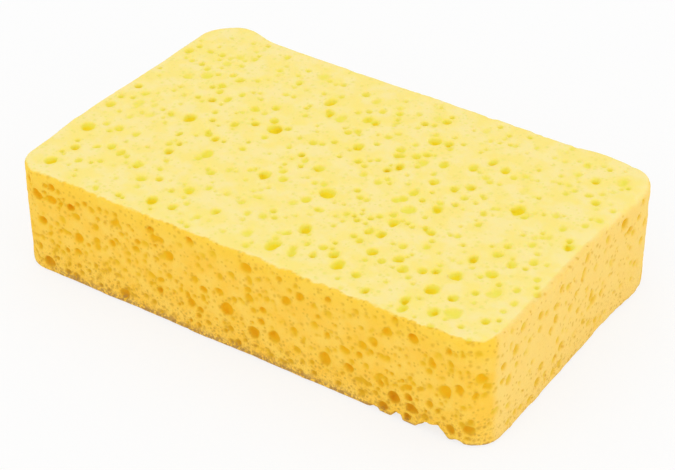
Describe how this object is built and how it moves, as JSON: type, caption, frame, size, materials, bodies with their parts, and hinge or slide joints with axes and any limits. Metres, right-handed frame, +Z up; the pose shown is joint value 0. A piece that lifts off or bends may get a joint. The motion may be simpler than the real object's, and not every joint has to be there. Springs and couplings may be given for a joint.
{
  "type": "cleaning sponge",
  "caption": "Rectangular block of yellow cellulose foam with rounded corners and open round cells on every face, for wiping and washing by hand.",
  "frame": {"origin": "centre of the block's base, on the surface that it lies on", "axes": "+X along the block's length, +Y across its width, +Z up through its thickness"},
  "size_m": [0.14, 0.086, 0.031],
  "materials": {
    "foam": "matte open-celled cellulose foam"
  },
  "bodies": {
    "root": {"sponge": "foam"}
  },
  "joints": []
}
